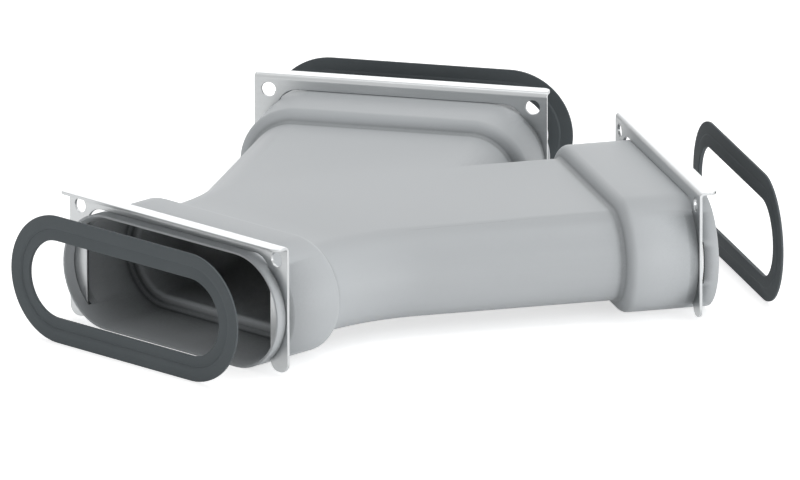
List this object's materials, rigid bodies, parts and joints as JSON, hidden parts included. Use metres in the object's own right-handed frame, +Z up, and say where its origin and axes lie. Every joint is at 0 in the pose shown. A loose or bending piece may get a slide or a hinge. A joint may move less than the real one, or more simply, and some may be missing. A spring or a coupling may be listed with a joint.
{
  "type": "flat duct y-piece",
  "caption": "Flat-oval ventilation y-piece with enlarged sockets, bright sheet-steel push-down clips and loose rubber seal rings.",
  "frame": {"origin": "middle of the whole set in plan, on the floor that the socket undersides and the rings stand on", "axes": "+Z up, the stem mouth faces -Y, the branch mouths face +Y turned 30 degrees to each side"},
  "size_m": [0.342, 0.3444, 0.0632],
  "materials": {
    "body_plastic": "smooth moulded light grey",
    "clip_steel": "bright smooth sheet steel",
    "seal_rubber": "dull dark grey"
  },
  "bodies": {
    "root": {"y_body": "body_plastic", "stem_clip": "clip_steel", "left_clip": "clip_steel", "right_clip": "clip_steel", "stem_seal": "seal_rubber", "left_seal": "seal_rubber", "right_seal": "seal_rubber"}
  },
  "joints": []
}
